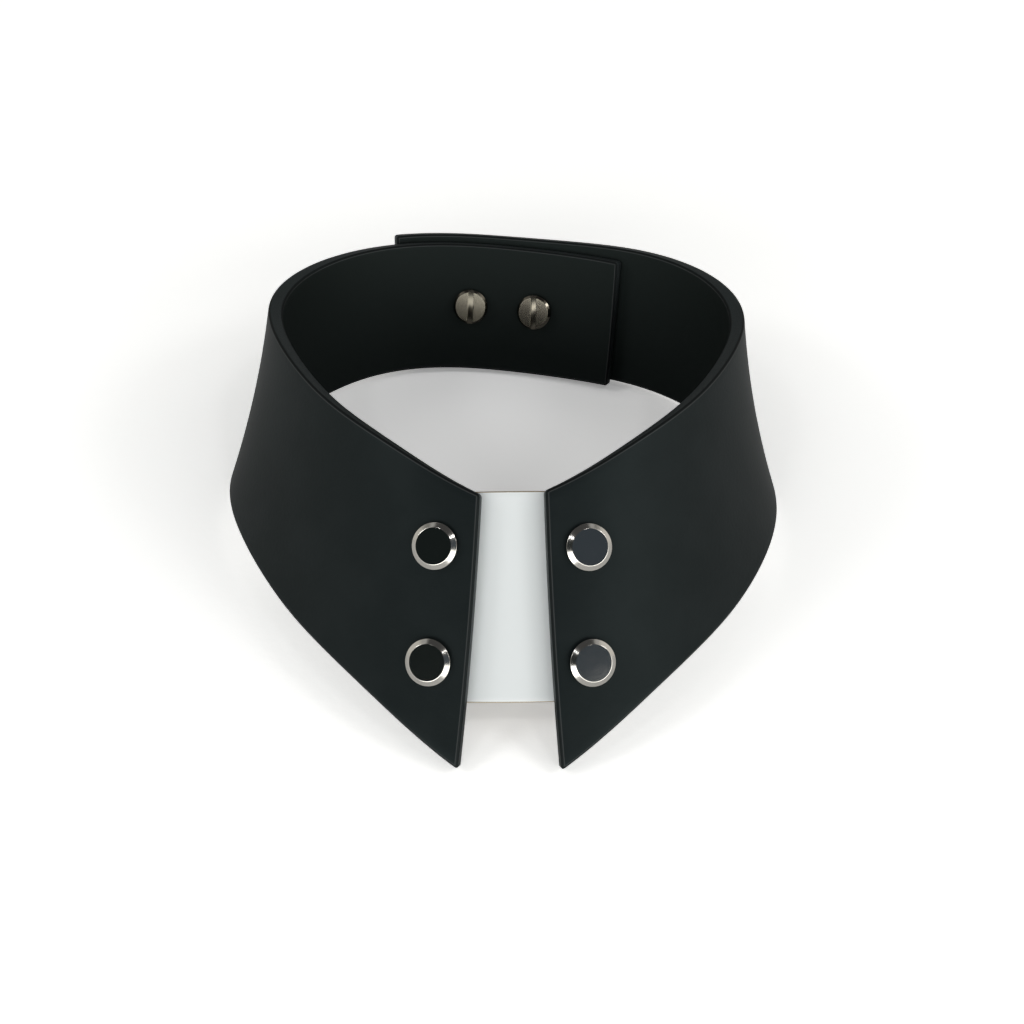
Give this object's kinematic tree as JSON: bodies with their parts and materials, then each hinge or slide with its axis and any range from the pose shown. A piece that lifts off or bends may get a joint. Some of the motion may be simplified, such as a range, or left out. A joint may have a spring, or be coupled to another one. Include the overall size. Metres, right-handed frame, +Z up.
{
  "type": "leather choker",
  "caption": "Standing ring-shaped neck piece of thick black leather, deep and pointed at the front with a white plate behind the gap, fastened with screw posts at the front and back.",
  "frame": {"origin": "middle of the footprint, on the surface the choker stands on", "axes": "+Z up, the pointed front faces -Y, +X to the right of someone who looks at the front"},
  "size_m": [0.1382, 0.1547, 0.0455],
  "materials": {
    "black_leather": "smooth matt black leather, 3.6 mm thick, with creased and burnished edges",
    "white_face": "smooth glossy white face with tan cut edges",
    "nickel": "polished nickel"
  },
  "bodies": {
    "root": {"leather_left": "black_leather", "leather_right": "black_leather", "front_plate": "white_face", "post_front_left_upper": "nickel", "post_front_left_lower": "nickel", "post_front_right_upper": "nickel", "post_front_right_lower": "nickel", "post_back_left": "nickel", "post_back_right": "nickel", "screw_front_left_upper": "nickel", "screw_front_left_lower": "nickel", "screw_front_right_upper": "nickel", "screw_front_right_lower": "nickel", "screw_back_left": "nickel", "screw_back_right": "nickel"}
  },
  "joints": []
}
